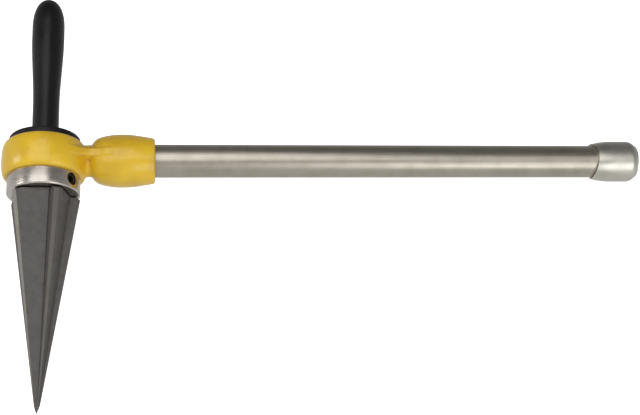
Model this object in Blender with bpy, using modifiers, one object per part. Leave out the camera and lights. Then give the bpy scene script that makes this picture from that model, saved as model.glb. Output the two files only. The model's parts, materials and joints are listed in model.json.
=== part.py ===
"""Hand ratchet reamer for pipe: a tapered cutter turned by a ratchet head on a pipe handle.

The tool is modelled upright, about the axes that a machinist would use: Z is the axis of the cutter,
with its point down, and X is the axis of the handle. Two empties then lay it on a flat surface, where
it rests on the ring of the head, the small end of the cutter and the end cap of the handle.
"""

import math

import bmesh
import bpy
from mathutils import Matrix, Vector

MM = 0.001

# Gap between pieces that touch, and between a shaft and the bore that it turns in
GAP = 0.3 * MM

# Ring of the ratchet head
RING_RADIUS = 33.4 * MM
RING_EDGE_RADIUS = 29.8 * MM
RING_TOP = 12.6 * MM
RING_BOTTOM = -15.8 * MM
RING_BULGE_POWER = 2.5
CHAMBER_RADIUS = 22.0 * MM
CHAMBER_FLOOR = -6.0 * MM
JOURNAL_RADIUS = 17.0 * MM

# Handle pipe, and the socket and neck that hold it
PIPE_RADIUS = 13.35 * MM
PIPE_WALL = 2.87 * MM
PIPE_INSERT = 26.8 * MM
PIPE_LENGTH = 423.4 * MM
SOCKET_WALL = 7.7 * MM
SOCKET_START = 37.0 * MM
SOCKET_END = 87.4 * MM
SOCKET_CORNER = 2.8 * MM
SOCKET_FACE_INSET = 3.4 * MM
NECK_HEIGHT = 27.0 * MM
NECK_THICKNESS = 17.0 * MM
NECK_ROUNDING = 5.0 * MM
WEB_THICKNESS = 6.0 * MM
WEB_WAIST = 18.6 * MM
WEB_WAIST_X = 37.0 * MM
WEB_RING_WIDTH = 25.8 * MM
WEB_RING_X = 22.0 * MM
WEB_SOCKET_WIDTH = 21.0 * MM
WEB_SOCKET_X = 51.0 * MM

# Cap on the end of the pipe
CAP_RADIUS = 17.0 * MM
CAP_MOUTH_WALL = 1.2 * MM
CAP_FLARE = 17.0 * MM
CAP_OVERLAP = 32.4 * MM
CAP_END_THICKNESS = 6.2 * MM
CAP_CORNER = 8.5 * MM
CAP_MOUTH_BOW = 3.0 * MM

# Spring-loaded pawl in the neck
PAWL_WIDTH = 8.0 * MM
PAWL_HEIGHT = 8.8 * MM
PAWL_SHOULDER_X = 36.0 * MM
PAWL_STEM_RADIUS = 2.0 * MM
PAWL_STEM_LENGTH = 6.0 * MM
SPRING_WIRE_RADIUS = 0.5 * MM
SPRING_COIL_RADIUS = 3.2 * MM
SPRING_TURNS = 8
SEAT_THICKNESS = 3.0 * MM

# Ratchet gear on the hub of the drive collar
GEAR_TEETH = 24
GEAR_TIP_RADIUS = 21.6 * MM
GEAR_ROOT_RADIUS = 19.0 * MM
GEAR_THICKNESS = 8.7 * MM
GEAR_PHASE = math.radians(-3.5)
HUB_RADIUS = 14.0 * MM
HUB_TOP = 9.5 * MM
WASHER_RADIUS = 18.4 * MM
WASHER_THICKNESS = 1.5 * MM
KEY_SIDE = 4.0 * MM
SNAP_RING_WIDTH = 3.2 * MM
SNAP_RING_THICKNESS = 1.3 * MM
SNAP_GROOVE_DEPTH = 1.0 * MM
SNAP_RING_OPENING = 5.0 * MM

# Drive collar and its set screws
COLLAR_RADIUS = 28.5 * MM
COLLAR_HEIGHT = 14.1 * MM
COLLAR_CHAMFER = 0.9 * MM
SET_SCREW_RADIUS = 4.9 * MM
SET_SCREW_RECESS = 1.3 * MM
SET_SCREW_RAISE = 0.9 * MM
SET_SCREW_ANGLES = (math.radians(54), math.radians(234))
HEX_RADIUS = 2.9 * MM
HEX_DEPTH = 5.0 * MM

# Cutter
BLADES = 5
FIRST_BLADE_ANGLE = math.radians(21.5)
BLADE_LAND = 4.4 * MM
LAND_RELIEF = 0.3 * MM
FLUTE_DEPTH = 8.8 * MM
CUTTER_RADIUS = 28.5 * MM
CUTTER_EDGE_DROP = 3.3 * MM
CUTTER_LENGTH = 172.0 * MM
CUTTER_SMALL_RADIUS = 2.4 * MM
BLADE_CHAMFER = 2.3 * MM
POINT_LENGTH = 6.5 * MM
SHANK_RADIUS = 12.0 * MM
SHANK_LENGTH = 22.0 * MM
TANG_SIDE = 15.0 * MM
TANG_LENGTH = 8.0 * MM
SHOULDER_RADIUS = 16.0 * MM
SHOULDER_LENGTH = 1.0 * MM

# Cover plate and its screws
PLATE_RADIUS = 28.0 * MM
PLATE_THICKNESS = 5.3 * MM
PLATE_ROUNDING = 1.6 * MM
PLATE_HOLE_RADIUS = 6.2 * MM
COVER_SCREWS = 3
COVER_SCREW_CIRCLE = 24.7 * MM
COVER_SCREW_RADIUS = 1.35 * MM
COVER_SCREW_HEAD_RADIUS = 2.4 * MM
COVER_SCREW_HEAD_HEIGHT = 2.2 * MM
COVER_SCREW_LENGTH = 12.0 * MM

# Feed spindle and grip
SPINDLE_RADIUS = 5.0 * MM
SPINDLE_FLANGE_RADIUS = 8.0 * MM
SPINDLE_THREAD = 7.0 * MM
GRIP_LENGTH = 127.5 * MM
GRIP_RADIUS = 13.1 * MM
GRIP_NECK_RADIUS = 10.5 * MM
GRIP_SWELL_START = 29.5 * MM
GRIP_SWELL_END = 92.5 * MM
GRIP_DOME_HEIGHT = 26.0 * MM
GRIP_DOME_POWER = 2.3
GRIP_BORE_DEPTH = 106.0 * MM
GRIP_RING_WIDTH = 2.6 * MM
GRIP_RING_THICKNESS = 1.0 * MM
GRIP_RING_BELOW_END = 14.0 * MM

# Places that follow from the sizes above
PIPE_START = SOCKET_END - PIPE_INSERT
PIPE_END = PIPE_START + PIPE_LENGTH
SEAT_START = PIPE_START - GAP - SEAT_THICKNESS
SOCKET_FLOOR = SEAT_START - GAP
COLLAR_TOP = RING_BOTTOM - GAP
COLLAR_BOTTOM = COLLAR_TOP - COLLAR_HEIGHT
SET_SCREW_HEIGHT = (COLLAR_TOP + COLLAR_BOTTOM) / 2 + SET_SCREW_RAISE
CUTTER_TOP = COLLAR_BOTTOM - SHOULDER_LENGTH
CUTTER_EDGE_HEIGHT = COLLAR_BOTTOM - CUTTER_EDGE_DROP
POINT_START = CUTTER_TOP - CUTTER_LENGTH + POINT_LENGTH
GEAR_BOTTOM = CHAMBER_FLOOR + 2 * GAP + WASHER_THICKNESS
GEAR_TOP = GEAR_BOTTOM + GEAR_THICKNESS
SNAP_RING_BOTTOM = GEAR_TOP + 2 * GAP
PLATE_BOTTOM = RING_TOP + GAP
PLATE_TOP = PLATE_BOTTOM + PLATE_THICKNESS
GRIP_BOTTOM = PLATE_TOP + GAP
SPINDLE_TOP = GRIP_BOTTOM + GRIP_BORE_DEPTH - 2 * MM
GRIP_RING_BOTTOM = SPINDLE_TOP - GRIP_RING_BELOW_END
CAP_MOUTH = PIPE_END - CAP_OVERLAP
CAP_END = PIPE_END + GAP + CAP_END_THICKNESS

ROUND_STEPS = 48
MEDIUM_ROUND_STEPS = 36
SMALL_ROUND_STEPS = 18
SHARP_ANGLE = math.radians(32)
OVERSHOOT = 2 * MM


# ---------------------------------------------------------------- materials


def make_material(name, colour, roughness, metallic):
    """A plain material with one Principled shader; the colour is linear RGB."""
    material = bpy.data.materials.new(name)
    material.use_nodes = True
    shader = material.node_tree.nodes["Principled BSDF"]
    shader.inputs["Base Color"].default_value = (*colour, 1)
    shader.inputs["Roughness"].default_value = roughness
    shader.inputs["Metallic"].default_value = metallic
    return material


# ---------------------------------------------------------------- modelling


def add_object(name, mesh):
    """Puts a mesh in the scene as an object of its own."""
    shape = bpy.data.objects.new(name, mesh)
    bpy.context.scene.collection.objects.link(shape)
    return shape


def bake(shape):
    """Turns an object's modifiers, or its curve, into a closed mesh with its faces pointing out."""
    depsgraph = bpy.context.evaluated_depsgraph_get()
    mesh = bpy.data.meshes.new_from_object(shape.evaluated_get(depsgraph))
    shaper = bmesh.new()
    shaper.from_mesh(mesh)
    bmesh.ops.remove_doubles(shaper, verts=shaper.verts, dist=0.002 * MM)
    bmesh.ops.recalc_face_normals(shaper, faces=shaper.faces)
    shaper.to_mesh(mesh)
    shaper.free()
    mesh.shade_smooth()
    mesh.set_sharp_from_angle(angle=SHARP_ANGLE)
    baked = add_object(shape.name + "_baked", mesh)
    baked.matrix_world = shape.matrix_world
    name = shape.name
    bpy.data.objects.remove(shape)
    baked.name = name
    return baked


def combine(shape, tool, operation):
    """Joins the tool to a shape, cuts it out or keeps what both share, and removes the tool."""
    boolean = shape.modifiers.new(operation.lower(), "BOOLEAN")
    boolean.operation = operation
    boolean.object = tool
    baked = bake(shape)
    bpy.data.objects.remove(tool)
    return baked


def cut(shape, *tools):
    """Cuts each tool out of a shape."""
    for tool in tools:
        shape = combine(shape, tool, "DIFFERENCE")
    return shape


def join(shape, *tools):
    """Joins each tool to a shape."""
    for tool in tools:
        shape = combine(shape, tool, "UNION")
    return shape


def turned(name, profile, steps=ROUND_STEPS):
    """A turned solid about Z. The profile is (radius, height) points down the outer side."""
    mesh = bpy.data.meshes.new(name)
    shaper = bmesh.new()
    corners = [shaper.verts.new((radius, 0, height)) for radius, height in profile]
    for upper, lower in zip(corners, corners[1:]):
        shaper.edges.new((upper, lower))
    if profile[0][0] > 0:
        shaper.edges.new((corners[-1], corners[0]))
    shaper.to_mesh(mesh)
    shaper.free()
    shape = add_object(name, mesh)
    screw = shape.modifiers.new("turn", "SCREW")
    screw.steps = steps
    screw.render_steps = steps
    screw.use_merge_vertices = True
    screw.merge_threshold = 0.002 * MM
    return bake(shape)


def lay_along_x(shape):
    """Turns a shape that was made about Z so that its axis is X, and its top end faces +X."""
    shape.data.transform(Matrix.Rotation(math.radians(90), 4, "Y"))
    return shape


def cylinder(name, radius, bottom, top, steps=ROUND_STEPS):
    """A plain round bar about Z between two heights."""
    mesh = bpy.data.meshes.new(name)
    shaper = bmesh.new()
    place = Matrix.Translation((0, 0, (bottom + top) / 2))
    depth = top - bottom
    bmesh.ops.create_cone(
        shaper, cap_ends=True, segments=steps, radius1=radius, radius2=radius, depth=depth, matrix=place
    )
    shaper.to_mesh(mesh)
    shaper.free()
    return add_object(name, mesh)


def block(name, low, high, rounding=0.0):
    """A block between two opposite corners, with all of its edges rounded if asked."""
    mesh = bpy.data.meshes.new(name)
    shaper = bmesh.new()
    size = Vector(high) - Vector(low)
    middle = (Vector(high) + Vector(low)) / 2
    place = Matrix.Translation(middle) @ Matrix.Diagonal((*size, 1))
    bmesh.ops.create_cube(shaper, size=1, matrix=place)
    shaper.to_mesh(mesh)
    shaper.free()
    shape = add_object(name, mesh)
    if rounding:
        bevel = shape.modifiers.new("rounding", "BEVEL")
        bevel.width = rounding
        bevel.segments = 4
        shape = bake(shape)
    return shape


def plate_from_outline(name, outlines, bottom, top):
    """A flat plate whose first outline is its edge, and whose others are holes in it."""
    curve = bpy.data.curves.new(name, "CURVE")
    curve.dimensions = "2D"
    curve.fill_mode = "BOTH"
    curve.extrude = (top - bottom) / 2
    for outline in outlines:
        spline = curve.splines.new("POLY")
        spline.points.add(len(outline) - 1)
        for point, (x, y) in zip(spline.points, outline):
            point.co = (x, y, 0, 1)
        spline.use_cyclic_u = True
    shape = bake(add_object(name, curve))
    shape.data.transform(Matrix.Translation((0, 0, (bottom + top) / 2)))
    return shape


def on_circle(radius, angle):
    """The point of a circle about Z at an angle from +X."""
    return Vector((radius * math.cos(angle), radius * math.sin(angle)))


def from_front(angle):
    """The angle from +X of a direction that is measured from the front, -Y, towards +X."""
    return angle - math.radians(90)


def swept_points(controls, steps):
    """Points of a smooth curve through the controls, with the given number of steps between two."""
    padded = [controls[0], *controls, controls[-1]]
    points = []
    for four in zip(padded, padded[1:], padded[2:], padded[3:]):
        before, start, end, after = (Vector(control) for control in four)
        leave = (end - before) / 2
        arrive = (after - start) / 2
        for step in range(steps):
            t = step / steps
            bend = 3 * (end - start) - 2 * leave - arrive
            twist = 2 * (start - end) + leave + arrive
            points.append(tuple(start + leave * t + bend * t**2 + twist * t**3))
    return points + [controls[-1]]


def quarter_arc(start, end, steps):
    """Points of a quarter ellipse that leaves start along the first axis of a (radius, height) pair."""
    points = []
    for step in range(steps + 1):
        angle = math.radians(90) * step / steps
        points.append(
            (
                start[0] + (end[0] - start[0]) * math.sin(angle),
                end[1] + (start[1] - end[1]) * math.cos(angle),
            )
        )
    return points


# ---------------------------------------------------------------- ratchet head


def ring_profile(steps=12):
    """The barrel-shaped outer side of the ring, from its top edge to its bottom edge."""
    middle = (RING_TOP + RING_BOTTOM) / 2
    half = (RING_TOP - RING_BOTTOM) / 2
    points = []
    for step in range(steps + 1):
        share = math.cos(math.pi * step / steps)
        bulge = (1 - abs(share) ** RING_BULGE_POWER) ** (1 / RING_BULGE_POWER)
        radius = RING_EDGE_RADIUS + (RING_RADIUS - RING_EDGE_RADIUS) * bulge
        points.append((radius, middle + half * share))
    return points


def socket_profile():
    """The outer side of the pipe socket, from its mouth back to the neck, about the handle's axis."""
    full = PIPE_RADIUS + GAP + SOCKET_WALL
    length = SOCKET_END - SOCKET_START
    mouth = full - SOCKET_FACE_INSET + SOCKET_CORNER * 0.3
    flank = [
        (mouth, SOCKET_END - SOCKET_CORNER),
        (full - 1.5 * MM, SOCKET_END - 0.19 * length),
        (full - 0.2 * MM, SOCKET_START + 0.62 * length),
        (full - 0.1 * MM, SOCKET_START + 0.40 * length),
        (full - 1.0 * MM, SOCKET_START + 0.25 * length),
        (full - 2.6 * MM, SOCKET_START + 0.13 * length),
        (full - 4.6 * MM, SOCKET_START + 0.06 * length),
        (full - 8.6 * MM, SOCKET_START),
    ]
    corner_start = (mouth - SOCKET_CORNER, SOCKET_END)
    corner = quarter_arc(corner_start, flank[0], 4)
    return [(0, SOCKET_END), *corner[:-1], *swept_points(flank, 2), (0, SOCKET_START)]


def web_outline():
    """The waisted plan of the web that joins the ring to the socket, with both sides alike."""
    side = swept_points(
        [
            (WEB_RING_X, WEB_RING_WIDTH),
            ((WEB_RING_X + WEB_WAIST_X) / 2, (WEB_RING_WIDTH + 2 * WEB_WAIST) / 3),
            (WEB_WAIST_X, WEB_WAIST),
            (WEB_SOCKET_X, WEB_SOCKET_WIDTH),
        ],
        4,
    )
    return side + [(x, -y) for x, y in reversed(side)]


def make_head():
    """The cast head: ring, neck with its web, and pipe socket, then every bore in it."""
    head = turned("ratchet_head", [(0, RING_TOP), *ring_profile(), (0, RING_BOTTOM)])
    half_height = NECK_HEIGHT / 2
    half_thick = NECK_THICKNESS / 2
    neck = block(
        "neck",
        (WEB_RING_X, -half_thick, -half_height),
        (WEB_SOCKET_X, half_thick, half_height),
        NECK_ROUNDING,
    )
    web = plate_from_outline("web", [web_outline()], -WEB_THICKNESS / 2, WEB_THICKNESS / 2)
    socket = lay_along_x(turned("socket", socket_profile()))
    head = join(head, neck, web, socket)

    chamber = cylinder("chamber", CHAMBER_RADIUS, CHAMBER_FLOOR, RING_TOP + OVERSHOOT)
    journal_bore = cylinder("journal_bore", JOURNAL_RADIUS + GAP, RING_BOTTOM - OVERSHOOT, 0)
    pipe_bore = cylinder("pipe_bore", PIPE_RADIUS + GAP, SOCKET_FLOOR, SOCKET_END + OVERSHOOT)
    plate_seat = cylinder("plate_seat", PLATE_RADIUS + GAP, RING_TOP, RING_TOP + NECK_HEIGHT)
    head = cut(head, chamber, journal_bore, lay_along_x(pipe_bore), plate_seat)

    slot_half_width = PAWL_WIDTH / 2 + GAP
    slot_half_height = PAWL_HEIGHT / 2 + GAP
    pawl_slot = block(
        "pawl_slot",
        (GEAR_ROOT_RADIUS, -slot_half_width, -slot_half_height),
        (SOCKET_FLOOR + OVERSHOOT, slot_half_width, slot_half_height),
    )
    head = cut(head, pawl_slot)
    for angle in cover_screw_angles():
        bottom = PLATE_TOP - COVER_SCREW_HEAD_HEIGHT - COVER_SCREW_LENGTH - 2 * GAP
        hole = cylinder("screw_hole", COVER_SCREW_RADIUS + GAP, bottom, PLATE_TOP, SMALL_ROUND_STEPS)
        hole.location = (*on_circle(COVER_SCREW_CIRCLE, angle), 0)
        head = cut(head, hole)
    return head


# ---------------------------------------------------------------- handle


def make_pipe():
    """The steel pipe of the handle."""
    outer = PIPE_RADIUS
    inner = PIPE_RADIUS - PIPE_WALL
    profile = [(outer, PIPE_END), (outer, PIPE_START), (inner, PIPE_START), (inner, PIPE_END)]
    return lay_along_x(turned("handle_tube", profile))


def make_end_cap():
    """The cap over the end of the pipe: flared from its thin, bowed mouth, with a well rounded end."""
    bore = PIPE_RADIUS + GAP
    mouth_radius = bore + CAP_MOUTH_WALL
    end_corner = quarter_arc((CAP_RADIUS - CAP_CORNER, CAP_END), (CAP_RADIUS, CAP_END - CAP_CORNER), 6)
    flare = []
    for step in range(6):
        share = step / 5
        radius = mouth_radius + (CAP_RADIUS - mouth_radius) * math.sin(math.radians(90) * share)
        flare.append((radius, CAP_MOUTH + CAP_FLARE * share))
    inside = [(bore, CAP_MOUTH), (bore, PIPE_END + GAP), (0, PIPE_END + GAP)]
    cap = lay_along_x(turned("handle_end_cap", [(0, CAP_END), *end_corner, *reversed(flare), *inside]))

    bow_radius = (mouth_radius**2 + CAP_MOUTH_BOW**2) / (2 * CAP_MOUTH_BOW)
    bow = cylinder("mouth_bow", bow_radius, -2 * CAP_RADIUS, 2 * CAP_RADIUS, 96)
    bow.data.transform(Matrix.Rotation(math.radians(90), 4, "X"))
    bow.location.x = CAP_MOUTH + CAP_MOUTH_BOW - bow_radius
    return cut(cap, bow)


def make_spring_seat():
    """The disc that the pipe traps at the bottom of the socket, with a pip that centres the spring."""
    pip_radius = SPRING_COIL_RADIUS - SPRING_WIRE_RADIUS - GAP
    pip_start = SEAT_START - 2 * MM
    profile = [
        (0, SEAT_START + SEAT_THICKNESS),
        (PIPE_RADIUS, SEAT_START + SEAT_THICKNESS),
        (PIPE_RADIUS, SEAT_START),
        (pip_radius, SEAT_START),
        (pip_radius, pip_start),
        (0, pip_start),
    ]
    return lay_along_x(turned("spring_seat", profile, MEDIUM_ROUND_STEPS))


def make_spring():
    """The coil spring between the pawl and its seat."""
    start = PAWL_SHOULDER_X + GAP + SPRING_WIRE_RADIUS
    end = SEAT_START - GAP - SPRING_WIRE_RADIUS
    steps_per_turn = 10
    count = SPRING_TURNS * steps_per_turn + 1
    curve = bpy.data.curves.new("pawl_spring", "CURVE")
    curve.dimensions = "3D"
    curve.bevel_depth = SPRING_WIRE_RADIUS
    curve.bevel_resolution = 2
    curve.use_fill_caps = True
    wire = curve.splines.new("POLY")
    wire.points.add(count - 1)
    for index, point in enumerate(wire.points):
        angle = 2 * math.pi * index / steps_per_turn
        along = start + (end - start) * index / (count - 1)
        y, z = on_circle(SPRING_COIL_RADIUS, angle)
        point.co = (along, y, z, 1)
    return bake(add_object("pawl_spring", curve))


def pawl_outline():
    """The pawl seen along the cutter's axis: a wedge that fits one tooth space, and its back."""
    half = PAWL_WIDTH / 2
    steep = on_circle(1, GEAR_PHASE)
    beside = Vector((-steep.y, steep.x)) * GAP
    root = steep * (GEAR_ROOT_RADIUS + GAP) + beside
    shoulder = steep * (GEAR_TIP_RADIUS + GAP) + beside
    ramp_start = on_circle(GEAR_ROOT_RADIUS, GEAR_PHASE)
    ramp_end = on_circle(GEAR_TIP_RADIUS, GEAR_PHASE + 2 * math.pi / GEAR_TEETH)
    ramp = ramp_end - ramp_start
    slope = ramp.x / ramp.y
    flank_x = root.x + (half - root.y) * slope + GAP
    front_x = GEAR_TIP_RADIUS + GAP
    return [
        (root.x + GAP, root.y),
        (flank_x, half),
        (PAWL_SHOULDER_X, half),
        (PAWL_SHOULDER_X, -half),
        (front_x, -half),
        (front_x, shoulder.y),
    ]


def make_pawl():
    """The square pawl that the spring pushes into the gear, with a stem inside the spring."""
    pawl = plate_from_outline("pawl", [pawl_outline()], -PAWL_HEIGHT / 2, PAWL_HEIGHT / 2)
    stem_end = PAWL_SHOULDER_X + PAWL_STEM_LENGTH
    stem = cylinder("stem", PAWL_STEM_RADIUS, PAWL_SHOULDER_X - OVERSHOOT, stem_end, SMALL_ROUND_STEPS)
    return join(pawl, lay_along_x(stem))


# ---------------------------------------------------------------- ratchet drive


def key_low_and_high(gap):
    """Opposite corners of the key, or of the slot for it when there is a gap."""
    half = KEY_SIDE / 2 + gap
    low = (-half, HUB_RADIUS - half, GEAR_BOTTOM)
    high = (half, HUB_RADIUS + half, GEAR_TOP)
    return low, high


def make_key():
    """The parallel key between the hub and the gear."""
    low, high = key_low_and_high(0)
    return block("gear_key", low, high)


def make_gear():
    """The ratchet gear: saw teeth outside, a plain bore and a keyway inside."""
    teeth = []
    for tooth in range(GEAR_TEETH):
        angle = GEAR_PHASE + 2 * math.pi * tooth / GEAR_TEETH
        teeth.append(on_circle(GEAR_TIP_RADIUS, angle))
        teeth.append(on_circle(GEAR_ROOT_RADIUS, angle))
    bore_radius = HUB_RADIUS + GAP
    bore = [on_circle(bore_radius, 2 * math.pi * step / ROUND_STEPS) for step in range(ROUND_STEPS)]
    gear = plate_from_outline("ratchet_gear", [teeth, bore], GEAR_BOTTOM, GEAR_TOP)
    low, high = key_low_and_high(GAP)
    low = (low[0], low[1], GEAR_BOTTOM - OVERSHOOT)
    high = (high[0], high[1], GEAR_TOP + OVERSHOOT)
    return cut(gear, block("keyway", low, high))


def make_washer():
    """The thrust washer between the gear and the floor of its chamber."""
    bottom = CHAMBER_FLOOR + GAP
    top = bottom + WASHER_THICKNESS
    inner = HUB_RADIUS + 2 * GAP
    profile = [(WASHER_RADIUS, top), (WASHER_RADIUS, bottom), (inner, bottom), (inner, top)]
    return turned("thrust_washer", profile)


def make_snap_ring(name, seat_radius, width, bottom, thickness, opening):
    """An open ring that springs into a groove."""
    outer = seat_radius + width
    top = bottom + thickness
    profile = [(outer, top), (outer, bottom), (seat_radius, bottom), (seat_radius, top)]
    ring = turned(name, profile, MEDIUM_ROUND_STEPS)
    gap_block = block(
        "ring_opening",
        (-outer - OVERSHOOT, -opening / 2, bottom - OVERSHOOT),
        (0, opening / 2, top + OVERSHOOT),
    )
    return cut(ring, gap_block)


def radial_bar(name, radius, inner, outer, height, angle, steps=SMALL_ROUND_STEPS):
    """A bar or a cutter that points away from the Z axis, at a height and an angle from +X."""
    bar = cylinder(name, radius, inner, outer, steps)
    turn = Matrix.Rotation(angle, 4, "Z") @ Matrix.Rotation(math.radians(90), 4, "Y")
    bar.data.transform(Matrix.Translation((0, 0, height)) @ turn)
    return bar


def make_collar():
    """The collar that drives the cutter: a plain flange below, and a hub for the gear above."""
    groove_bottom = SNAP_RING_BOTTOM - GAP
    groove_top = SNAP_RING_BOTTOM + SNAP_RING_THICKNESS + GAP
    groove_radius = HUB_RADIUS - SNAP_GROOVE_DEPTH
    journal_top = CHAMBER_FLOOR - GAP
    shank_bore = SHANK_RADIUS + GAP
    shank_top = CUTTER_TOP + SHANK_LENGTH + GAP
    profile = [
        (0, HUB_TOP),
        (HUB_RADIUS, HUB_TOP),
        (HUB_RADIUS, groove_top),
        (groove_radius, groove_top),
        (groove_radius, groove_bottom),
        (HUB_RADIUS, groove_bottom),
        (HUB_RADIUS, journal_top),
        (JOURNAL_RADIUS, journal_top),
        (JOURNAL_RADIUS, COLLAR_TOP),
        (COLLAR_RADIUS, COLLAR_TOP),
        (COLLAR_RADIUS, COLLAR_BOTTOM + COLLAR_CHAMFER),
        (COLLAR_RADIUS - COLLAR_CHAMFER, COLLAR_BOTTOM),
        (shank_bore, COLLAR_BOTTOM),
        (shank_bore, shank_top),
        (0, shank_top),
    ]
    collar = turned("drive_collar", profile)

    half = TANG_SIDE / 2 + GAP
    tang_top = CUTTER_TOP + SHANK_LENGTH + TANG_LENGTH + GAP
    tang_socket = block("tang_socket", (-half, -half, shank_top - OVERSHOOT), (half, half, tang_top))
    spindle_hole = cylinder(
        "spindle_hole",
        SPINDLE_RADIUS + GAP,
        HUB_TOP - SPINDLE_THREAD - GAP,
        HUB_TOP + OVERSHOOT,
        SMALL_ROUND_STEPS,
    )
    low, high = key_low_and_high(GAP)
    key_slot = block("key_slot", (low[0], low[1], GEAR_BOTTOM - GAP), (high[0], high[1], HUB_TOP + OVERSHOOT))
    collar = cut(collar, tang_socket, spindle_hole, key_slot)
    for angle in SET_SCREW_ANGLES:
        hole = radial_bar(
            "set_screw_hole",
            SET_SCREW_RADIUS + GAP,
            SHANK_RADIUS - GAP,
            COLLAR_RADIUS + OVERSHOOT,
            SET_SCREW_HEIGHT,
            from_front(angle),
        )
        collar = cut(collar, hole)
    return collar


def make_set_screws():
    """The headless screws that clamp the cutter's shank, each with a hexagon socket."""
    outer = COLLAR_RADIUS - SET_SCREW_RECESS
    screws = []
    for number, angle in enumerate(SET_SCREW_ANGLES, 1):
        turn = from_front(angle)
        screw = radial_bar(
            f"set_screw_{number}", SET_SCREW_RADIUS, SHANK_RADIUS + GAP, outer, SET_SCREW_HEIGHT, turn
        )
        hexagon = radial_bar(
            "hexagon", HEX_RADIUS, outer - HEX_DEPTH, outer + OVERSHOOT, SET_SCREW_HEIGHT, turn, 6
        )
        screws.append(cut(screw, hexagon))
    return screws


# ---------------------------------------------------------------- cutter


def blade_section():
    """The cutter's section at radius 1: each blade has a land, a flat back and a nearly radial face."""
    pitch = 2 * math.pi / BLADES
    land = BLADE_LAND / CUTTER_RADIUS
    heel = 1 - LAND_RELIEF / CUTTER_RADIUS
    root = 1 - FLUTE_DEPTH / CUTTER_RADIUS
    blade = [
        (1.0, 0.0),
        (heel, land),
        (root + 0.03, 0.93 * pitch),
        (root, 0.955 * pitch),
        (root, 0.97 * pitch),
        (root + 0.02, 0.985 * pitch),
    ]
    points = []
    for number in range(BLADES):
        edge = FIRST_BLADE_ANGLE + number * pitch
        points.extend(on_circle(radius, from_front(edge + angle)) for radius, angle in blade)
    return points


def cutter_radius(height):
    """The radius of the blades at a height, on their straight taper."""
    share = (CUTTER_EDGE_HEIGHT - height) / (CUTTER_EDGE_HEIGHT - POINT_START)
    return CUTTER_RADIUS + (CUTTER_SMALL_RADIUS - CUTTER_RADIUS) * share


def make_tapered_blades():
    """The fluted taper: the section, drawn down and scaled to the taper's small end."""
    bottom = CUTTER_TOP - CUTTER_LENGTH - 0.5 * MM
    large = cutter_radius(CUTTER_TOP)
    small = cutter_radius(bottom)
    mesh = bpy.data.meshes.new("tapered_blades")
    shaper = bmesh.new()
    corners = [shaper.verts.new((*(point * large), CUTTER_TOP)) for point in blade_section()]
    top = shaper.faces.new(corners)
    drawn = bmesh.ops.extrude_face_region(shaper, geom=[top], use_keep_orig=True)
    ends = [item for item in drawn["geom"] if isinstance(item, bmesh.types.BMVert)]
    share = small / large
    for corner in ends:
        corner.co = (corner.co.x * share, corner.co.y * share, bottom)
    bmesh.ops.recalc_face_normals(shaper, faces=shaper.faces)
    shaper.to_mesh(mesh)
    shaper.free()
    return add_object("tapered_blades", mesh)


def make_cutter():
    """The cutter: fluted taper with a chamfered top and a point, then a shoulder, shank and tang."""
    envelope = turned(
        "envelope",
        [
            (0, CUTTER_TOP),
            (CUTTER_RADIUS - BLADE_CHAMFER, CUTTER_TOP),
            (CUTTER_RADIUS + GAP, CUTTER_EDGE_HEIGHT + 0.2 * MM),
            (CUTTER_RADIUS + GAP, CUTTER_EDGE_HEIGHT - 2 * MM),
            (CUTTER_SMALL_RADIUS + GAP, POINT_START + GAP),
            (0, CUTTER_TOP - CUTTER_LENGTH),
        ],
        60,
    )
    cutter = combine(make_tapered_blades(), envelope, "INTERSECT")
    cutter.name = "reamer_cutter"

    shoulder = cylinder("shoulder", SHOULDER_RADIUS, CUTTER_TOP - OVERSHOOT, COLLAR_BOTTOM - GAP)
    shank = cylinder("shank", SHANK_RADIUS, CUTTER_TOP - OVERSHOOT, CUTTER_TOP + SHANK_LENGTH)
    half = TANG_SIDE / 2
    tang_bottom = CUTTER_TOP + SHANK_LENGTH - OVERSHOOT
    tang = block("tang", (-half, -half, tang_bottom), (half, half, CUTTER_TOP + SHANK_LENGTH + TANG_LENGTH))
    return join(cutter, shoulder, shank, tang)


# ---------------------------------------------------------------- cover and feed grip


def cover_screw_angles():
    """Where the cover's screws stand, clear of the neck."""
    return [math.radians(60) + 2 * math.pi * number / COVER_SCREWS for number in range(COVER_SCREWS)]


def make_cover_plate():
    """The plate that closes the gear chamber, with a rounded top edge and sunk screw seats."""
    corner = quarter_arc(
        (PLATE_RADIUS - PLATE_ROUNDING, PLATE_TOP), (PLATE_RADIUS, PLATE_TOP - PLATE_ROUNDING), 4
    )
    underside = [(PLATE_RADIUS, PLATE_BOTTOM), (PLATE_HOLE_RADIUS, PLATE_BOTTOM)]
    plate = turned("cover_plate", [(PLATE_HOLE_RADIUS, PLATE_TOP), *corner, *underside])
    seat = PLATE_TOP - COVER_SCREW_HEAD_HEIGHT - 2 * GAP
    for angle in cover_screw_angles():
        place = (*on_circle(COVER_SCREW_CIRCLE, angle), 0)
        hole = cylinder(
            "screw_hole", COVER_SCREW_RADIUS + GAP, PLATE_BOTTOM - OVERSHOOT, PLATE_TOP, SMALL_ROUND_STEPS
        )
        sink = cylinder(
            "screw_sink", COVER_SCREW_HEAD_RADIUS + GAP, seat, PLATE_TOP + OVERSHOOT, SMALL_ROUND_STEPS
        )
        hole.location = place
        sink.location = place
        plate = cut(plate, hole, sink)
    return plate


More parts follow.
